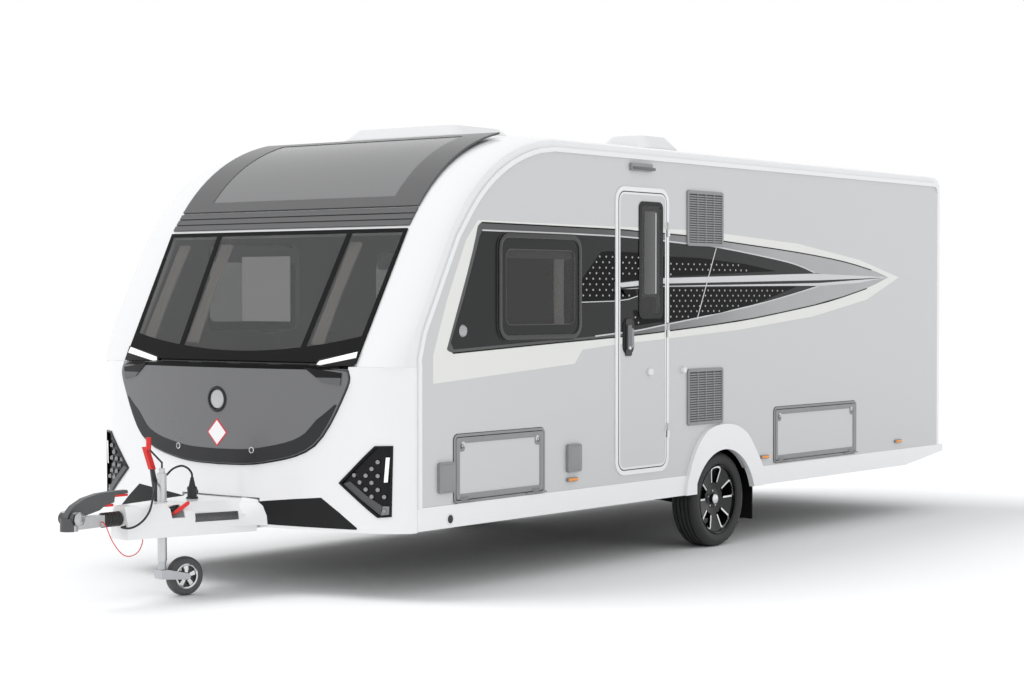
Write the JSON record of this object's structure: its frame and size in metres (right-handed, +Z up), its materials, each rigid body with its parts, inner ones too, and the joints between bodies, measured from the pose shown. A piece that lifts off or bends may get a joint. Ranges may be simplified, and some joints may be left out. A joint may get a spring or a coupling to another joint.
{
  "type": "travel caravan",
  "caption": "Single-axle touring caravan with raked front glazing, hinged entry door, gas locker lid, service lockers, drawbar with coupling, jockey wheel and steadies.",
  "frame": {"origin": "on the ground, under the middle of the overall length and width", "axes": "+X forward to the coupling, +Y to the left, the door side, +Z up"},
  "size_m": [7.401, 2.336, 2.585],
  "materials": {
    "white_moulding": "glossy white moulded panel",
    "wall_skin": "satin light grey laminate skin",
    "white_aluminium": "white powder coat",
    "grey_plastic": "grained grey plastic",
    "lid_paint": "metallic grey paint over moulding",
    "dark_acrylic": "dark tinted acrylic",
    "black_plastic": "black plastic",
    "red_lens": "red lamp lens",
    "galvanised": "hot-dip galvanised",
    "black_steel": "black paint",
    "cast_grey": "painted casting",
    "black_rubber": "black rubber",
    "red_plastic": "red plastic",
    "tyre_rubber": "black tyre rubber",
    "alloy": "black paint with machined edges",
    "plywood": "light laminated board",
    "tub_plastic": "light grey moulding"
  },
  "bodies": {
    "body": {"floor_panel": "plywood", "chassis_rails": "galvanised", "drawbar_frame": "galvanised", "axle": "black_steel", "front_panel": "white_moulding", "front_surround": "white_moulding", "roof_panel": "white_moulding", "rear_panel": "white_moulding", "side_wall_left": "wall_skin", "side_wall_right": "wall_skin", "side_skirts": "white_moulding", "wheel_housings": "black_plastic", "front_window_frame": "black_plastic", "front_window_panes": "dark_acrylic", "wall_windows": "dark_acrylic", "awning_rails": "white_aluminium", "corner_pods": "black_plastic", "front_grilles": "black_plastic", "gas_locker": "tub_plastic", "door_frame": "white_moulding", "locker_frames": "grey_plastic", "wall_fittings": "white_moulding", "fridge_vents": "grey_plastic", "tail_lamps": "red_lens", "rear_fittings": "grey_plastic", "rooflights": "dark_acrylic", "drawbar_cover": "white_moulding", "coupling": "cast_grey", "bellows": "black_rubber", "handbrake": "red_plastic", "connector": "black_rubber", "lead": "black_rubber", "breakaway_cable": "red_plastic", "steady_brackets": "galvanised", "cabin_furniture": "plywood"},
    "entry_door": {"entry_door": "white_moulding", "door_window": "dark_acrylic", "door_fittings": "grey_plastic"},
    "gas_lid": {"gas_locker_lid": "lid_paint", "lid_lamps": "black_plastic"},
    "service_front": {"service_door_front": "wall_skin"},
    "service_rear": {"service_door_rear": "wall_skin"},
    "service_toilet": {"service_door_toilet": "wall_skin"},
    "steady_fl": {"steady_front_left": "galvanised"},
    "steady_fr": {"steady_front_right": "galvanised"},
    "steady_rl": {"steady_rear_left": "galvanised"},
    "steady_rr": {"steady_rear_right": "galvanised"},
    "jockey_tube": {"jockey_outer": "galvanised"},
    "jockey_stem": {"jockey_inner": "galvanised"},
    "jockey_castor": {"jockey_fork": "galvanised"},
    "jockey_roller": {"jockey_wheel": "tyre_rubber"},
    "wheel_left": {"tyre_left": "tyre_rubber", "rim_left": "alloy"},
    "wheel_right": {"tyre_right": "tyre_rubber", "rim_right": "alloy"}
  },
  "joints": [
    {"name": "left_wheel_spin", "type": "hinge", "parent": "body", "child": "wheel_left", "pos_m": [-0.6385, 1.019, 0.295], "axis": [0, 1, 0], "continuous": true},
    {"name": "right_wheel_spin", "type": "hinge", "parent": "body", "child": "wheel_right", "pos_m": [-0.6385, -1.019, 0.295], "axis": [0, 1, 0], "continuous": true},
    {"name": "entry_door_hinge", "type": "hinge", "parent": "body", "child": "entry_door", "pos_m": [0.0225, 1.156, 1.36], "axis": [0, 0, 1], "range_deg": [0, 165]},
    {"name": "gas_lid_hinge", "type": "hinge", "parent": "body", "child": "gas_lid", "pos_m": [2.5045, 0, 1.201], "axis": [0, -1, 0], "range_deg": [0, 60]},
    {"name": "front_service_hinge", "type": "hinge", "parent": "body", "child": "service_front", "pos_m": [1.6465, 1.152, 0.486], "axis": [-1, 0, 0], "range_deg": [0, 90]},
    {"name": "rear_service_hinge", "type": "hinge", "parent": "body", "child": "service_rear", "pos_m": [-1.7935, 1.152, 0.494], "axis": [-1, 0, 0], "range_deg": [0, 90]},
    {"name": "toilet_service_hinge", "type": "hinge", "parent": "body", "child": "service_toilet", "pos_m": [-3.0635, -1.152, 0.556], "axis": [1, 0, 0], "range_deg": [0, 90]},
    {"name": "front_left_steady", "type": "hinge", "parent": "body", "child": "steady_fl", "pos_m": [1.7815, 0.64, 0.385], "axis": [0, -1, 0], "range_deg": [0, 50]},
    {"name": "front_right_steady", "type": "hinge", "parent": "body", "child": "steady_fr", "pos_m": [1.7815, -0.64, 0.385], "axis": [0, -1, 0], "range_deg": [0, 50]},
    {"name": "rear_left_steady", "type": "hinge", "parent": "body", "child": "steady_rl", "pos_m": [-3.1185, 0.64, 0.385], "axis": [0, 1, 0], "range_deg": [0, 50]},
    {"name": "rear_right_steady", "type": "hinge", "parent": "body", "child": "steady_rr", "pos_m": [-3.1185, -0.64, 0.385], "axis": [0, 1, 0], "range_deg": [0, 50]},
    {"name": "jockey_clamp_slide", "type": "slide", "parent": "body", "child": "jockey_tube", "axis": [0, 0, 1], "range_m": [0, 0.085]},
    {"name": "jockey_screw", "type": "slide", "parent": "jockey_tube", "child": "jockey_stem", "axis": [0, 0, 1], "range_m": [-0.12, 0.03]},
    {"name": "jockey_swivel", "type": "hinge", "parent": "jockey_stem", "child": "jockey_castor", "pos_m": [3.0335, 0, 0.15], "axis": [0, 0, 1], "continuous": true},
    {"name": "jockey_wheel_spin", "type": "hinge", "parent": "jockey_castor", "child": "jockey_roller", "pos_m": [2.90736, 0.03145, 0.102], "axis": [-0.2419, -0.9703, 0], "continuous": true}
  ]
}
